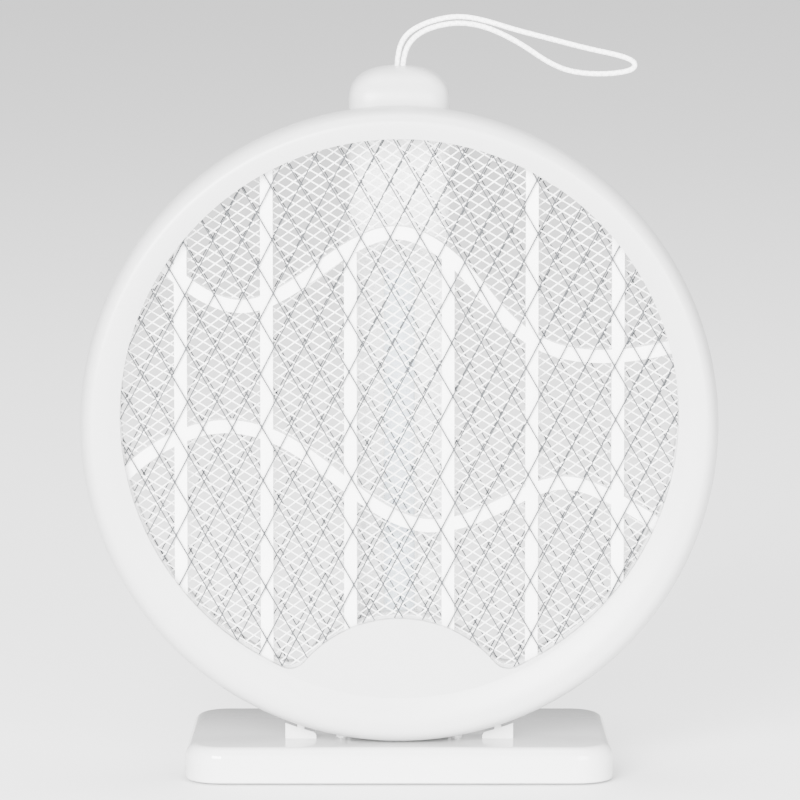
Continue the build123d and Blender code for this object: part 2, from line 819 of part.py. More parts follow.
# Base
with BuildSketch() as base_plan:
    with BuildLine():
        Polyline(
            (-base_front_width / 2, -base_depth / 2),
            (base_front_width / 2, -base_depth / 2),
            (base_rear_width / 2, base_depth / 2),
            (-base_rear_width / 2, base_depth / 2),
            close=True,
        )
    make_face()
    fillet(base_plan.vertices(), base_corner)

with BuildPart() as base_top_shell:
    with BuildSketch(Plane.XY.offset(foot_height)):
        add(base_plan.sketch)
    extrude(amount=base_height - foot_height)
    fillet(base_top_shell.faces().sort_by(Axis.Z)[-1].edges(), base_edge)
    fillet(base_top_shell.faces().sort_by(Axis.Z)[0].edges(), 0.8)
    with BuildSketch(Plane.XY):
        offset(base_plan.sketch, amount=-base_wall)
    extrude(amount=base_height - base_wall, mode=Mode.SUBTRACT)
    with BuildSketch(Plane.XY.offset(plate_top)):
        with Locations(*base_boss_places):
            Circle(3.2)
    extrude(amount=base_height - plate_top - 1)
    with BuildSketch(Plane.XY.offset(plate_top)):
        with Locations(*base_boss_places):
            Circle(base_screw_radius + 0.02)
    extrude(amount=7, mode=Mode.SUBTRACT)
    with BuildSketch(Plane.XY.offset(base_height)):
        with Locations((0, peg_y)):
            RectangleRounded(pin_block_width + 0.3, pin_block_depth + 0.3, 1)
    extrude(amount=-4, mode=Mode.SUBTRACT)
    with BuildSketch(across(base_depth / 2 - 4)):
        with Locations((0, socket_low + socket_height / 2)):
            RectangleRounded(socket_width + 0.4, socket_height + 0.4, 1.5)
    extrude(amount=8, mode=Mode.SUBTRACT)
write(base_top_shell, "base_top_shell")

with BuildPart() as base_bottom_plate:
    with BuildSketch(Plane.XY.offset(foot_height)):
        offset(base_plan.sketch, amount=-base_wall - 0.2)
    extrude(amount=plate_top - foot_height)
    with BuildSketch(Plane.XY.offset(foot_height)):
        with GridLocations(foot_spacing_x, foot_spacing_y, 2, 2):
            Circle(foot_radius + 0.1)
    extrude(amount=foot_recess, mode=Mode.SUBTRACT)
    with BuildSketch(Plane.XY.offset(foot_height)):
        with Locations(*base_boss_places):
            Circle(base_head_radius + 0.2)
    extrude(amount=1.4, mode=Mode.SUBTRACT)
    with BuildSketch(Plane.XY.offset(foot_height)):
        with Locations(*base_boss_places):
            Circle(base_screw_radius + 0.3)
    extrude(amount=4, mode=Mode.SUBTRACT)
write(base_bottom_plate, "base_bottom_plate")

with BuildPart() as base_feet:
    with BuildSketch(Plane.XY):
        with GridLocations(foot_spacing_x, foot_spacing_y, 2, 2):
            Circle(foot_radius)
    extrude(amount=foot_height + foot_recess)
write(base_feet, "base_feet")

with BuildPart() as base_screws:
    with BuildSketch(Plane.XY.offset(foot_height + 0.2)):
        with Locations(*base_boss_places):
            Circle(base_head_radius)
    extrude(amount=1.2)
    with BuildSketch(Plane.XY.offset(foot_height + 1.4)):
        with Locations(*base_boss_places):
            Circle(base_screw_radius)
    extrude(amount=7)
write(base_screws, "base_screws")

with BuildPart() as base_weights:
    with BuildSketch(Plane.XY.offset(plate_top + 0.1)):
        with Locations((-36, 0), (36, 0)):
            Rectangle(34, 56)
    extrude(amount=6)
    chamfer(base_weights.edges().filter_by(Axis.Z), 2)
write(base_weights, "base_weights")

with BuildPart() as base_board:
    with BuildSketch(Plane.XY.offset(plate_top + 0.4)):
        with Locations((0, (base_board_front + base_board_rear) / 2)):
            Rectangle(24, base_board_rear - base_board_front)
    extrude(amount=board_thickness)
write(base_board, "base_board")

with BuildPart() as contact_block:
    with BuildSketch(Plane.XY.offset(plate_top + 0.4 + board_thickness)):
        with Locations((0, peg_y)):
            RectangleRounded(pin_block_width, pin_block_depth, 1)
    extrude(amount=base_height - plate_top - 0.4 - board_thickness)
    with BuildSketch(Plane.XY.offset(base_height)):
        with Locations((-pin_spacing, peg_y), (pin_spacing, peg_y)):
            Circle(contact_pin_radius + 0.05)
    extrude(amount=-5, mode=Mode.SUBTRACT)
write(contact_block, "contact_block")

with BuildPart() as contact_pins:
    with BuildSketch(Plane.XY.offset(base_height - 5)):
        with Locations((-pin_spacing, peg_y), (pin_spacing, peg_y)):
            Circle(contact_pin_radius)
    extrude(amount=5 + ring_gap + pad_recess - 0.3)
    fillet(contact_pins.edges().filter_by(GeomType.CIRCLE).group_by(Axis.Z)[-1], 0.3)
write(contact_pins, "contact_pins")

with BuildPart() as charging_socket:
    with BuildSketch(across(base_depth / 2 - 8)):
        with Locations((0, socket_low + socket_height / 2)):
            RectangleRounded(socket_width, socket_height, 1.3)
    extrude(amount=7.6)
    with BuildSketch(across(base_depth / 2 - 7)):
        with Locations((0, socket_low + socket_height / 2)):
            RectangleRounded(socket_width - 0.8, socket_height - 0.8, 1.1)
            RectangleRounded(socket_width - 2.6, 0.8, 0.2, mode=Mode.SUBTRACT)
    extrude(amount=8, mode=Mode.SUBTRACT)
write(charging_socket, "charging_socket")

# Cradle: two rests under the ring, a rest behind the hinge, and two pegs that locate the head
rest_circle = ring_radius + rest_gap
with BuildPart() as cradle_rests:
    with BuildSketch(front_view.offset(-rest_front - rest_depth)) as rest_shape:
        for side in (-1, 1):
            with Locations((side * (rest_inner + rest_outer) / 2, -ring_radius - ring_gap + 5)):
                Rectangle(rest_outer - rest_inner, 10)
        Circle(rest_circle, mode=Mode.SUBTRACT)
        inner_tips = [v for v in rest_shape.vertices() if abs(abs(v.X) - rest_inner) < 0.1 and v.Y > -ring_radius]
        fillet(inner_tips, rest_round)
    extrude(amount=rest_depth)
write(cradle_rests, "cradle_rests")

with BuildPart() as cradle_pads:
    with BuildSketch(front_view.offset(-rest_front - rest_depth)):
        for side in (-1, 1):
            with Locations((side * pad_place, -ring_radius + 4)):
                Rectangle(pad_width, 12)
        Circle(ring_radius + 0.35, mode=Mode.SUBTRACT)
        with BuildSketch(mode=Mode.PRIVATE) as under_pads:
            Circle(rest_circle)
        add(under_pads.sketch, mode=Mode.INTERSECT)
    extrude(amount=rest_depth)
write(cradle_pads, "cradle_pads")

with BuildPart() as cradle_back_rest:
    with BuildSketch(Plane.XY.offset(base_height)):
        with Locations((0, back_rest_y + 2.5)):
            RectangleRounded(32, 5, 2.2)
    extrude(amount=back_rest_height)
    fillet(cradle_back_rest.faces().sort_by(Axis.Z)[-1].edges(), 1.2)
write(cradle_back_rest, "cradle_back_rest")

with BuildPart() as locating_pegs:
    with BuildSketch(Plane.XY.offset(base_height)):
        with Locations((peg_x, peg_y), (-peg_x, peg_y)):
            Circle(peg_radius)
    extrude(amount=peg_height)
    chamfer(locating_pegs.edges().filter_by(GeomType.CIRCLE).group_by(Axis.Z)[-1], 0.6)
write(locating_pegs, "locating_pegs")

tube_section = pi * (lanyard_diameter / 2) ** 2
print("lanyard radii:", [round(r, 1) for r in lanyard_radii])
print("lanyard length:", round(lanyard_route.wires()[0].length, 1))
print("lanyard volume over section times length:",
      round(lanyard.part.volume / (tube_section * lanyard_route.wires()[0].length), 4))
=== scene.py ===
import json
from math import cos, pi, radians, sin

import bpy
import numpy as np
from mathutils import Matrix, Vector


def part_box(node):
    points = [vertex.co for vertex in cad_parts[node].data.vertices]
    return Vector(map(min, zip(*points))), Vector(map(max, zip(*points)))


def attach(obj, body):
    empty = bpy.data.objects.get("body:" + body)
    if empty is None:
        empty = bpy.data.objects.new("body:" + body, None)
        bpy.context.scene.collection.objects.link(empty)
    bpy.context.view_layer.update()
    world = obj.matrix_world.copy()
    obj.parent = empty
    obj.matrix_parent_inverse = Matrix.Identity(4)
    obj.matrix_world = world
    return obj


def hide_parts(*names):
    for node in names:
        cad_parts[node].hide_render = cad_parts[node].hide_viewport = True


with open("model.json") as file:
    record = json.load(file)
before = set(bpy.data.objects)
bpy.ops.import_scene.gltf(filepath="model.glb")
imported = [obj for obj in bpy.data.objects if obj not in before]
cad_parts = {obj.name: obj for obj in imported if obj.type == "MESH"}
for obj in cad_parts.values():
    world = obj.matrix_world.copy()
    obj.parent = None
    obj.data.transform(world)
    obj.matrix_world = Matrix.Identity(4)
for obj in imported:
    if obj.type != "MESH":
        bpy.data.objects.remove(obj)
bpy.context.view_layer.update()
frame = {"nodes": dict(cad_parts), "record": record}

mm = 0.001

# the ring's middle: the nets and the camera are placed from it, and the lamps are aimed at its height
ringLow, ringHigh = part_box("head_front_shell")
meshLow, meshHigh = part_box("middle_mesh")
ring = {
    "x": (ringLow[0] + ringHigh[0]) / 2,
    "y": (meshLow[1] + meshHigh[1]) / 2,
    "z": (ringLow[2] + ringHigh[2]) / 2,
    "radius": (ringHigh[0] - ringLow[0]) / 2,
}
print("frame loaded, ring radius", round(ring["radius"] / mm, 1), "mm")


# the camera: distances in metres, the elevation in degrees, the lens and the sensor in mm
camera = {
    "distance": 2.5,
    "elevation": 7.5,
    "lens": 326.25,
    "sensor": 36,
    "aimUp": 8.4 * mm,
    "aimAcross": 0.24 * mm,
    "farthest": 100,
}


def makeCamera():
    # back from the ring's middle along a line that rises by the elevation, then slid up and across the view
    tilt = radians(camera["elevation"])
    back = Vector((0, -cos(tilt), sin(tilt)))
    up = Vector((0, sin(tilt), cos(tilt)))
    middle = Vector((ring["x"] + camera["aimAcross"], ring["y"], ring["z"]))
    data = bpy.data.cameras.new("camera")
    data.lens = camera["lens"]
    data.sensor_width = camera["sensor"]
    data.clip_end = camera["farthest"]
    eye = bpy.data.objects.new("camera", data)
    eye.location = middle + up * camera["aimUp"] + back * camera["distance"]
    eye.rotation_euler = (pi / 2 - tilt, 0, 0)
    bpy.context.collection.objects.link(eye)
    bpy.context.scene.camera = eye


makeCamera()
print("camera placed")


# the lanyard: points given in metres, the same route as its tube
lanyard = {
    "diameter": 1.8 * mm,
    "length": 0.2025,
    "order": 3,
    "stepsPerPoint": 10,
    "roundness": 5,
    "points": [
        (-0.0009, 0.0077, 0.2378), (-0.0008, 0.0077, 0.2444), (-0.0004, 0.0077, 0.2486),
        (0.0006, 0.0077, 0.2526), (0.0030, 0.0077, 0.2560), (0.0075, 0.0078, 0.2588),
        (0.0140, 0.0079, 0.2610), (0.0215, 0.0081, 0.2619), (0.0300, 0.0082, 0.2603),
        (0.0400, 0.0081, 0.2571), (0.0530, 0.0077, 0.2538), (0.0660, 0.0076, 0.2504),
        (0.0763, 0.0074, 0.2483), (0.0820, 0.0070, 0.2461), (0.0813, 0.0067, 0.2432),
        (0.0740, 0.0064, 0.2419), (0.0650, 0.0062, 0.2419), (0.0575, 0.0061, 0.2432),
        (0.0505, 0.0061, 0.2466), (0.0435, 0.0061, 0.2515), (0.0360, 0.0061, 0.2557),
        (0.0285, 0.0062, 0.2587), (0.0205, 0.0062, 0.2598), (0.0125, 0.0063, 0.2585),
        (0.0066, 0.0063, 0.2559), (0.0032, 0.0063, 0.2524), (0.0018, 0.0063, 0.2486),
        (0.00115, 0.0063, 0.2444), (0.00095, 0.0063, 0.2378),
    ],
}


def makeLanyard():
    # a spline of the given order that the points pull along, with a round tube carried along it
    curve = bpy.data.curves.new("lanyard_cord", "CURVE")
    curve.dimensions = "3D"
    curve.resolution_u = lanyard["stepsPerPoint"]
    curve.bevel_depth = 1  # the points carry the tube's radius, so that the curve's box is the tube's own
    curve.bevel_resolution = lanyard["roundness"]
    curve.use_fill_caps = True
    spline = curve.splines.new("NURBS")
    spline.points.add(len(lanyard["points"]) - 1)
    for point, place in zip(spline.points, lanyard["points"]):
        point.co = (*place, 1)
        point.radius = lanyard["diameter"] / 2
    spline.order_u = lanyard["order"]
    spline.use_endpoint_u = True
    cord = bpy.data.objects.new("lanyard_cord", curve)
    bpy.context.collection.objects.link(cord)
    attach(cord, "handle")
    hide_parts("lanyard")
    return cord


lanyardCord = makeLanyard()
print("lanyard made")


# a colour Mix has other sockets of the same names, so its two colours and its result go by number
mixFirst, mixSecond, mixResult = 6, 7, 2

# what all the noise-grained surfaces share: how far the roughness strays, and how deep the grain is
grain = {"roughSpread": 0.12, "depth": 0.05 * mm, "detail": 3, "blotchDetail": 2}


def linear(code):
    # sRGB hex to linear: below 0.04045 a straight line, above it a power of 2.4
    parts = np.array([int(code[i:i + 2], 16) for i in (1, 3, 5)]) / 255
    bent = np.where(parts <= 0.04045, parts / 12.92, ((parts + 0.055) / 1.055) ** 2.4)
    return (*bent.tolist(), 1.0)


def addNode(tree, kind, settings=None, values=None, links=None):
    # settings go on the node itself, values on its inputs, and links lead other outputs to its inputs
    node = tree.nodes.new(kind)
    for name, value in (settings or {}).items():
        setattr(node, name, value)
    for name, value in (values or {}).items():
        node.inputs[name].default_value = value
    for name, socket in (links or {}).items():
        tree.links.new(socket, node.inputs[name])
    return node


def paintedReflectionTop(tree, place, colour, paintedReflectionTone, start, stop):
    # upward faces go over to the darker tone between two y places in mm: a painted reflection, which stands
    # for the dim room that a polished top mirrors at a low angle, and which the studio's white world would
    # not give
    y = addNode(tree, "ShaderNodeSeparateXYZ", links={"Vector": place}).outputs["Y"]
    normal = addNode(tree, "ShaderNodeNewGeometry").outputs["Normal"]
    up = addNode(tree, "ShaderNodeSeparateXYZ", links={"Vector": normal}).outputs["Z"]
    rearward = addNode(tree, "ShaderNodeMapRange", values={"From Min": start * mm, "From Max": stop * mm},
                       links={"Value": y})
    share = addNode(tree, "ShaderNodeMath", {"operation": "MULTIPLY", "use_clamp": True},
                    links={0: rearward.outputs["Result"], 1: up})
    paintedReflectionMix = addNode(tree, "ShaderNodeMix", {"data_type": "RGBA"}, {mixSecond: linear(paintedReflectionTone)},
                    {"Factor": share.outputs["Value"], mixFirst: colour})
    return paintedReflectionMix.outputs[mixResult]


def surfaceMaterial(name, finish):
    # two hex tones mixed by a soft noise, and a bump and a little stray roughness from a second noise at
    # the grain's own size: a noise of scale 1 / size has its lumps about that size apart
    material = bpy.data.materials.new(name)
    material.use_nodes = True
    tree = material.node_tree
    shader = tree.nodes["Principled BSDF"]
    place = addNode(tree, "ShaderNodeTexCoord").outputs["Object"]
    blotch = addNode(tree, "ShaderNodeTexNoise",
                     values={"Scale": 1 / (finish["blotch"] * mm), "Detail": grain["blotchDetail"]},
                     links={"Vector": place})
    tone = addNode(tree, "ShaderNodeMix", {"data_type": "RGBA"},
                   {mixFirst: linear(finish["dark"]), mixSecond: linear(finish["light"])},
                   {"Factor": blotch.outputs["Fac"]})
    colour = tone.outputs[mixResult]
    # the base's top gets a painted reflection: its colour darkens towards the rear
    if "paintedReflectionFade" in finish:
        colour = paintedReflectionTop(tree, place, colour, *finish["paintedReflectionFade"])
    tree.links.new(colour, shader.inputs["Base Color"])
    stretched = addNode(tree, "ShaderNodeMapping", values={"Scale": finish.get("stretch", (1, 1, 1))},
                        links={"Vector": place})
    lumps = addNode(tree, "ShaderNodeTexNoise",
                    values={"Scale": 1 / (finish["grain"] * mm), "Detail": grain["detail"]},
                    links={"Vector": stretched.outputs["Vector"]})
    spread = addNode(tree, "ShaderNodeMapRange",
                     values={"To Min": finish["rough"] * (1 - grain["roughSpread"]),
                             "To Max": finish["rough"] * (1 + grain["roughSpread"])},
                     links={"Value": lumps.outputs["Fac"]})
    tree.links.new(spread.outputs["Result"], shader.inputs["Roughness"])
    bump = addNode(tree, "ShaderNodeBump", values={"Strength": finish["bump"], "Distance": grain["depth"]},
                   links={"Height": lumps.outputs["Fac"]})
    tree.links.new(bump.outputs["Normal"], shader.inputs["Normal"])
    for socket, value in finish.get("shader", {}).items():
        shader.inputs[socket].default_value = value
    return material


# dark and light are the two tones, blotch and grain the sizes of the noises in mm, rough and bump the
# roughness and the grain's strength, and shader holds the constants that go straight on the shader's sockets
finishes = {
    # satin ABS, moulded in a spark-eroded tool: soft highlight, faint orange peel
    "white_shell": ("absMouldedSatin", {"dark": "#bcbcbc", "light": "#c2c2c2", "blotch": 60, "grain": 1.6,
                                        "rough": 0.34, "bump": 0.12, "shader": {"IOR": 1.53}}),
    # polished ABS: clear reflection of what stands on it, and a painted reflection that darkens the top
    # towards the rear
    "white_base": ("absMouldedPolished", {"dark": "#d6d6d6", "light": "#dcdcdc", "blotch": 80, "grain": 3.0,
                                          "rough": 0.14, "bump": 0.06, "paintedReflectionFade": ("#6a6a6a", -30, 38),
                                          "shader": {"IOR": 1.53, "Coat Weight": 0.35,
                                                     "Coat Roughness": 0.06}}),
    # natural polypropylene, moulded matt: bright, with a broad and faint highlight
    "white_rib": ("polypropyleneMoulded", {"dark": "#fafafa", "light": "#ffffff", "blotch": 40, "grain": 1.2,
                                           "rough": 0.55, "bump": 0.1, "shader": {"IOR": 1.49}}),
    # ABS with an etched finger texture: matt, and rougher to look at than the shells
    "button_plastic": ("absEtched", {"dark": "#dcdcdf", "light": "#e6e6e8", "blotch": 12, "grain": 0.4,
                                     "rough": 0.5, "bump": 0.35, "shader": {"IOR": 1.53}}),
    # aluminium, slit and expanded: dull grey strands, a little less metallic than bare metal
    "net_metal": ("aluminiumExpanded", {"dark": "#26282a", "light": "#4a4c4f", "blotch": 6, "grain": 0.5,
                                        "rough": 0.5, "bump": 0.2, "shader": {"Metallic": 0.6}}),
    # aluminium, slit and expanded: set far less metallic than bare metal is, so that its strands look white
    "mesh_metal": ("aluminiumBrightMesh", {"dark": "#f2f2f2", "light": "#ffffff", "blotch": 8, "grain": 0.5,
                                           "rough": 0.4, "bump": 0.1, "shader": {"Metallic": 0.1}}),
    # steel, turned: bright, with fine rings round an axis along x, as the hinge pin has
    "steel": ("steelTurned", {"dark": "#8f9194", "light": "#b4b6b8", "blotch": 10, "grain": 0.5,
                              "stretch": (6, 1, 1), "rough": 0.28, "bump": 0.25,
                              "shader": {"Metallic": 1.0}}),
    # steel screw, zinc plated: cool grey with a little yellow in it
    "zinc_screw": ("steelZincPlated", {"dark": "#9b9da0", "light": "#bdbcb2", "blotch": 3, "grain": 0.3,
                                       "rough": 0.3, "bump": 0.15, "shader": {"Metallic": 1.0}}),
    # brass strip, stamped and plated: warm yellow with clear reflections
    "brass_contact": ("brassPlated", {"dark": "#c49b45", "light": "#dfbf6b", "blotch": 4, "grain": 0.3,
                                      "rough": 0.24, "bump": 0.12, "shader": {"Metallic": 1.0}}),
    # polycarbonate window, moulded clear: seen by its highlight, and what is behind it shows through
    "clear_window": ("polycarbonateClear", {"dark": "#fbfcff", "light": "#ffffff", "blotch": 50, "grain": 4.0,
                                            "rough": 0.06, "bump": 0.03,
                                            "shader": {"IOR": 1.58, "Alpha": 0.12}}),
    # polycarbonate diffuser, frosted by etching: milky, with light spread inside it
    "diffuser": ("polycarbonateFrosted", {"dark": "#f2f2f6", "light": "#fafafd", "blotch": 20, "grain": 0.6,
                                          "rough": 0.6, "bump": 0.2,
                                          "shader": {"IOR": 1.58, "Subsurface Weight": 0.3}}),
    # glass fibre board under green solder mask: deep green with a soft shine
    "circuit_board": ("solderMaskGreen", {"dark": "#14512c", "light": "#1d6d3d", "blotch": 5, "grain": 0.8,
                                          "rough": 0.32, "bump": 0.2, "shader": {"IOR": 1.5}}),
    # glass fibre board under white solder mask: warm white, a little duller than the green one
    "white_board": ("solderMaskWhite", {"dark": "#e4e4df", "light": "#f0f0ec", "blotch": 5, "grain": 0.8,
                                        "rough": 0.4, "bump": 0.15, "shader": {"IOR": 1.5}}),
    # epoxy component body, transfer moulded: near black, with a dull skin
    "component": ("epoxyMoulded", {"dark": "#151517", "light": "#232326", "blotch": 4, "grain": 0.3,
                                   "rough": 0.5, "bump": 0.25, "shader": {"IOR": 1.55}}),
    # PVC sleeve shrunk on the cell: blue and glossy, slightly uneven
    "cell_wrap": ("pvcShrunk", {"dark": "#1d4f94", "light": "#2a66b0", "blotch": 15, "grain": 2.5,
                                "rough": 0.22, "bump": 0.2, "shader": {"IOR": 1.53}}),
    # nitrile foot, pressed: dark grey, almost without a highlight
    "rubber_foot": ("nitrilePressed", {"dark": "#2b2b2b", "light": "#3a3a3a", "blotch": 6, "grain": 0.4,
                                       "rough": 0.8, "bump": 0.4, "shader": {"IOR": 1.52}}),
    # silicone pad, moulded: milky and soft
    "clear_rubber": ("siliconeMoulded", {"dark": "#bfbfbf", "light": "#d2d2d2", "blotch": 4, "grain": 0.5,
                                         "rough": 0.45, "bump": 0.2, "shader": {"IOR": 1.41}}),
}
# moulded ABS again, set brighter than the shells as painted light, so that it stays pale in the shade of the
# three nets
handlePaintedLightFinish = ("absMouldedPaintedLight", {"dark": "#f6f6f6", "light": "#fcfcfc", "blotch": 60, "grain": 1.8,
                                     "rough": 0.3, "bump": 0.08, "shader": {"IOR": 1.53}})
materials = {slot: surfaceMaterial(name, finish) for slot, (name, finish) in finishes.items()}

# the braid's waves repeat once in 0.314 of their size, so its ridges stand 1.9 mm apart: coarser than the
# real plies, so that they show
braid = {"waveSize": 6 * mm, "lean": 0.8, "dark": "#dddddd", "light": "#f6f6f6", "bump": 0.5,
         "depth": 0.15 * mm, "rough": 0.75, "sheen": 0.2}


def braidMaterial():
    # polyester cord, braided: two sets of ridges lean against each other, and the higher one shows, which
    # gives a dull white with faint crossing lines and a slightly furry edge
    material = bpy.data.materials.new("polyesterBraided")
    material.use_nodes = True
    tree = material.node_tree
    shader = tree.nodes["Principled BSDF"]
    place = addNode(tree, "ShaderNodeTexCoord").outputs["Object"]
    heights = {}
    for order, lean in enumerate((braid["lean"], -braid["lean"])):
        turned = addNode(tree, "ShaderNodeMapping", values={"Rotation": (0, lean, 0)},
                         links={"Vector": place})
        ply = addNode(tree, "ShaderNodeTexWave", {"bands_direction": "X"}, {"Scale": 1 / braid["waveSize"]},
                      {"Vector": turned.outputs["Vector"]})
        heights[order] = ply.outputs["Fac"]
    weave = addNode(tree, "ShaderNodeMath", {"operation": "MAXIMUM"}, links=heights).outputs["Value"]
    tone = addNode(tree, "ShaderNodeMix", {"data_type": "RGBA"},
                   {mixFirst: linear(braid["dark"]), mixSecond: linear(braid["light"])}, {"Factor": weave})
    tree.links.new(tone.outputs[mixResult], shader.inputs["Base Color"])
    bump = addNode(tree, "ShaderNodeBump", values={"Strength": braid["bump"], "Distance": braid["depth"]},
                   links={"Height": weave})
    tree.links.new(bump.outputs["Normal"], shader.inputs["Normal"])
    shader.inputs["Roughness"].default_value = braid["rough"]
    shader.inputs["Sheen Weight"].default_value = braid["sheen"]
    return material


materials["lanyard_cord"] = braidMaterial()
lanyardCord.data.materials.append(materials["lanyard_cord"])

# each node wears its slot's material, and the handle's front shell the brighter one, whose extra brightness
# is painted light
slotOf = {row["node"]: row["material_slot"] for row in frame["record"]["subparts"]}
for name, node in frame["nodes"].items():
    for holder in node.material_slots:
        holder.material = materials[slotOf[name]]
    if not node.material_slots:
        node.data.materials.append(materials[slotOf[name]])
handlePaintedLightMaterial = surfaceMaterial(*handlePaintedLightFinish)
for holder in frame["nodes"]["handle_front_shell"].material_slots:
    holder.material = handlePaintedLightMaterial
print("materials on", len(frame["nodes"]), "nodes")


def addPiece(name, verts, faces):
    # a mesh whose object stays at the origin, with its place in its points
    mesh = bpy.data.meshes.new(name)
    mesh.from_pydata(verts, [], faces)
    mesh.update()
    piece = bpy.data.objects.new(name, mesh)
    bpy.context.collection.objects.link(piece)
    return piece


# the nets' opening in the head, measured from the ring's middle
opening = {
    "radius": 96 * mm,
    "rise": 3.9 * mm,
    "lobeRadius": 43 * mm,
    "lobeTop": -66.3 * mm,
    "tuck": 1.5 * mm,
}
# how a net is cut to it: the lattice covers 1.2 radii each way before it is shifted and cut, and scraps of
# strand shorter than the shortest are dropped
cut = {"cover": 1.2, "halvings": 14, "shortest": 0.4 * mm}

# wide and tall are a cell's size, turn its lean in degrees, knot the place of one knot, thick the strand's
# thickness, and step how far the two directions stand apart; a strand has its widths at its stations
coarse = {
    "wide": 10.14 * mm,
    "tall": 18.5 * mm,
    "turn": 1.25,
    "knot": (-17.7 * mm, 37.6 * mm),
    "thick": 0.4 * mm,
    "step": 0.1 * mm,
    "stations": (0, 0.05, 0.5, 0.95, 1),
    "widths": (0.66 * mm, 0.42 * mm, 0.38 * mm, 0.42 * mm, 0.66 * mm),
}
rearCoarse = dict(coarse, wide=10.32 * mm, tall=18.13 * mm, knot=(-17.3 * mm, 37.9 * mm))
fine = {
    "wide": 5.72 * mm,
    "tall": 3.82 * mm,
    "turn": 3.2,
    "knot": (0.0, 0.0),
    "thick": 0.3 * mm,
    "step": 0.08 * mm,
    "stations": (0, 0.5, 1),
    "widths": (0.5 * mm, 0.42 * mm, 0.5 * mm),
}


def insideOpening(points):
    # inside the big circle and outside the lobe's circle, both moved by the net's tuck under the rim
    fromMiddle = np.hypot(points[..., 0], points[..., 1] - opening["rise"])
    lobeMiddle = opening["lobeTop"] - opening["lobeRadius"]
    fromLobe = np.hypot(points[..., 0], points[..., 1] - lobeMiddle)
    inCircle = fromMiddle < opening["radius"] + opening["tuck"]
    return inCircle & (fromLobe > opening["lobeRadius"] - opening["tuck"])


def latticeStrands(net):
    # knots stand at half-cell steps where the two counts add up to an even number; each sends a strand
    # up-right and up-left, and a strand that leaves the opening is cut where halving finds the edge
    columns = int(2 * cut["cover"] * opening["radius"] / net["wide"]) + 2
    rows = int(2 * cut["cover"] * opening["radius"] / net["tall"]) + 2
    across, upward = np.meshgrid(np.arange(-columns, columns + 1), np.arange(-rows, rows + 1))
    even = (across + upward) % 2 == 0
    knots = np.stack([across[even] * net["wide"] / 2, upward[even] * net["tall"] / 2], axis=-1)
    step = np.array([[net["wide"] / 2, net["tall"] / 2], [-net["wide"] / 2, net["tall"] / 2]])
    starts = np.repeat(knots, 2, axis=0)
    ends = starts + np.tile(step, (len(knots), 1))
    turn = radians(net["turn"])
    spin = np.array([[cos(turn), sin(turn)], [-sin(turn), cos(turn)]])
    shift = np.array(net["knot"])
    starts, ends = starts @ spin + shift, ends @ spin + shift
    kept = insideOpening(starts) | insideOpening(ends)
    starts, ends = starts[kept], ends[kept]
    startIn, endIn = insideOpening(starts), insideOpening(ends)
    near = np.where(startIn[:, None], starts, ends)
    far = np.where(startIn[:, None], ends, starts)
    low, high = np.zeros(len(near)), np.ones(len(near))
    for _ in range(cut["halvings"]):
        middle = (low + high) / 2
        isIn = insideOpening(near + (far - near) * middle[:, None])
        low, high = np.where(isIn, middle, low), np.where(isIn, high, middle)
    reach = np.where(startIn & endIn, 1.0, low)
    far = near + (far - near) * reach[:, None]
    long = np.hypot(*(far - near).T) > cut["shortest"]
    leanRight = (far - near)[:, 0] * (far - near)[:, 1] > 0
    return near[long], far[long], leanRight[long]


def strandMesh(name, net, y):
    # every strand is the same four-sided bar, wide at its knots and thin between them, carried from start
    # to end: its corners stand half a width to each side of the line, half a thickness before and behind it
    near, far, leanRight = latticeStrands(net)
    along = far - near
    level = y + np.where(leanRight, 0.5, -0.5)[:, None] * net["step"]
    side = np.stack([-along[:, 1], along[:, 0]], axis=-1) / np.hypot(*along.T)[:, None]
    stations, widths = np.array(net["stations"]), np.array(net["widths"])
    centres = near[:, None, :] + along[:, None, :] * stations[None, :, None]
    offsets = side[:, None, :] * widths[None, :, None] / 2
    left, right = centres - offsets, centres + offsets
    level = np.repeat(level, len(stations), axis=1)
    front, back = level - net["thick"] / 2, level + net["thick"] / 2
    corners = [(left, front), (right, front), (right, back), (left, back)]
    verts = np.stack([np.stack([ring["x"] + spot[..., 0], depth, ring["z"] + spot[..., 1]], -1)
                      for spot, depth in corners], axis=2)
    strands, rows, edges = verts.shape[:3]
    first = np.arange(strands)[:, None] * rows * edges
    row = first[:, :, None] + np.arange(rows - 1)[None, :, None] * edges
    edge = np.arange(edges)[None, None, :]
    nextEdge = (edge + 1) % edges
    walls = np.stack([row + edge, row + nextEdge, row + edges + nextEdge, row + edges + edge], -1)
    startCaps = first + np.arange(edges)[::-1]
    endCaps = first + (rows - 1) * edges + np.arange(edges)
    faces = np.concatenate([walls.reshape(-1, 4), startCaps, endCaps])
    print(name, strands, "strands", len(faces), "faces")
    return addPiece(name, verts.reshape(-1, 3), faces)


for name, node, net, slot in (("front_net", "front_grid", coarse, "net_metal"),
                              ("rear_net", "rear_grid", rearCoarse, "net_metal"),
                              ("fine_net", "middle_mesh", fine, "mesh_metal")):
    low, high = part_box(node)
    piece = strandMesh(name, net, (low[1] + high[1]) / 2)
    piece.data.materials.append(materials[slot])
    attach(piece, "head")
    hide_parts(node)
print("nets made")


# the handle's domed end cap: square and squareTop are the powers of its outline below and at the top, round
# and flank those of the dome's side view, and its levels crowd towards the slot that the lanyard leaves by
cap = {
    "domeHeight": 12 * mm,
    "round": 2.4,
    "flank": 2.3,
    "square": 4.4,
    "squareTop": 2.6,
    "wall": 2 * mm,
    "slotHalf": (2.7 * mm, 1.8 * mm),
    "slotPlace": (0.0, 7.0 * mm),
    "seamGap": 0.05 * mm,
    "around": 128,
    "levels": 40,
    "crowding": 1.6,
    "flankRows": 5,
}


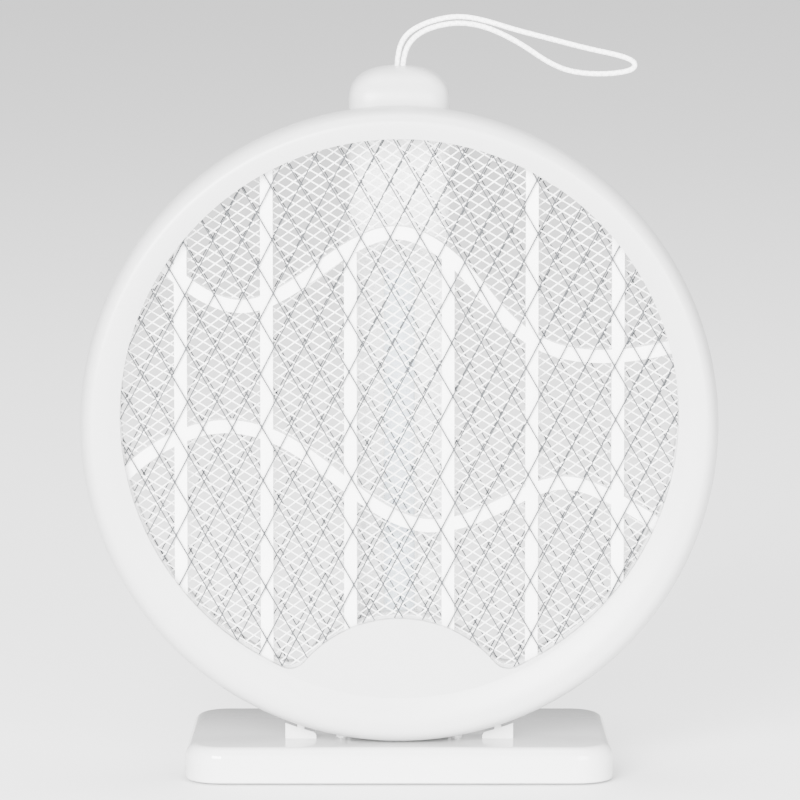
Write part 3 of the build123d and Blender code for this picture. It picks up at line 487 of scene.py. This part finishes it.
def capLevels(inset):
    # from the seam up to the slot: a straight flank, then a dome whose width is, at a depth below the top,
    # (1 - (1 - depth)^round)^(1 / flank); the outer wall begins a seam's gap above the inner one
    low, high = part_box("handle_end_cap")
    top = high[2] - inset
    start = low[2] + (cap["seamGap"] if inset == 0 else 0.0)
    depth = np.linspace(1, 0, cap["levels"]) ** cap["crowding"]
    dome = np.clip(1 - (1 - depth) ** cap["round"], 0, 1) ** (1 / cap["flank"])
    flank = np.linspace(start, top - cap["domeHeight"], cap["flankRows"], endpoint=False)
    heights = np.concatenate([flank, top - depth * cap["domeHeight"]])
    widths = np.concatenate([np.ones(cap["flankRows"]), dome])
    return heights, widths


def capSurface():
    # a squarish ring of points, |x/a|^n + |y/b|^n = 1, is carried up the outer levels to the slot, through
    # it, and down the inner levels, so the cap is one closed wall
    low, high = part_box("handle_end_cap")
    middle = np.array([(low[0] + high[0]) / 2, (low[1] + high[1]) / 2])
    half = np.array([(high[0] - low[0]) / 2, (high[1] - low[1]) / 2])
    turn = np.linspace(0, 2 * pi, cap["around"], endpoint=False)
    slot = np.array(cap["slotHalf"])
    walls = []
    for inset, order in ((0.0, 1), (cap["wall"], -1)):
        heights, widths = capLevels(inset)
        size = np.maximum((half - inset)[None, :] * widths[:, None], slot[None, :])
        power = 2 / (cap["squareTop"] + (cap["square"] - cap["squareTop"]) * widths)
        across = np.sign(np.cos(turn)) * np.abs(np.cos(turn))[None, :] ** power[:, None] * size[:, :1]
        depth = np.sign(np.sin(turn)) * np.abs(np.sin(turn))[None, :] ** power[:, None] * size[:, 1:]
        # the rings drift from the cap's middle to the slot's place as they narrow
        drift = (1 - widths)[:, None] * (np.array(cap["slotPlace"]) - middle)[None, :]
        rings = np.stack([middle[0] + drift[:, :1] + across, middle[1] + drift[:, 1:] + depth,
                          np.broadcast_to(heights[:, None], across.shape)], -1)
        walls.append(rings[::order])
    return np.concatenate(walls)


def closedSurface(name, rows):
    # the grid is joined to itself both ways round, so it has no edge
    levels, around = rows.shape[:2]
    level, step = np.meshgrid(np.arange(levels), np.arange(around), indexing="ij")
    above, beside = (level + 1) % levels, (step + 1) % around
    faces = np.stack([level * around + step, level * around + beside,
                      above * around + beside, above * around + step], -1)
    piece = addPiece(name, rows.reshape(-1, 3), faces.reshape(-1, 4))
    piece.data.shade_smooth()
    return piece


domedCap = closedSurface("domed_cap", capSurface())
domedCap.data.materials.append(materials["white_shell"])
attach(domedCap, "handle")
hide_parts("handle_end_cap")
print("cap made")


# the floor and the lights: the floor is matt white paper, which shows soft shadows and no clear reflection
studio = {
    "floorSize": 60,
    "floor": {"dark": "#f4f4f4", "light": "#f4f4f4", "blotch": 200, "grain": 2, "rough": 0.8, "bump": 0.0},
    "world": 1.15,
    "lamps": {
        "key": {"place": (-0.9, -2.6, 0.9), "size": 1.3, "power": 390},
        "fill": {"place": (0.9, -2.4, 0.6), "size": 1.4, "power": 150},
        "top": {"place": (0, 0.1, 1.9), "size": 1.3, "power": 60},
    },
}


def makeStudio():
    # a square floor, an even white world, and square lamps turned towards the ring's height
    half = studio["floorSize"] / 2
    floor = addPiece("floor", [(-half, -half, 0), (half, -half, 0), (half, half, 0), (-half, half, 0)],
                     [(0, 1, 2, 3)])
    floor.data.materials.append(surfaceMaterial("paperMatt", studio["floor"]))
    world = bpy.data.worlds.new("studio")
    world.use_nodes = True
    sky = world.node_tree.nodes["Background"]
    sky.inputs["Color"].default_value = (1, 1, 1, 1)
    sky.inputs["Strength"].default_value = studio["world"]
    bpy.context.scene.world = world
    aim = Vector((0, 0, ring["z"]))
    for name, lamp in studio["lamps"].items():
        data = bpy.data.lights.new(name, "AREA")
        data.size = lamp["size"]
        data.energy = lamp["power"]
        light = bpy.data.objects.new(name, data)
        light.location = lamp["place"]
        light.rotation_euler = (aim - light.location).to_track_quat("-Z", "Y").to_euler()
        bpy.context.collection.objects.link(light)


makeStudio()
print("studio made")
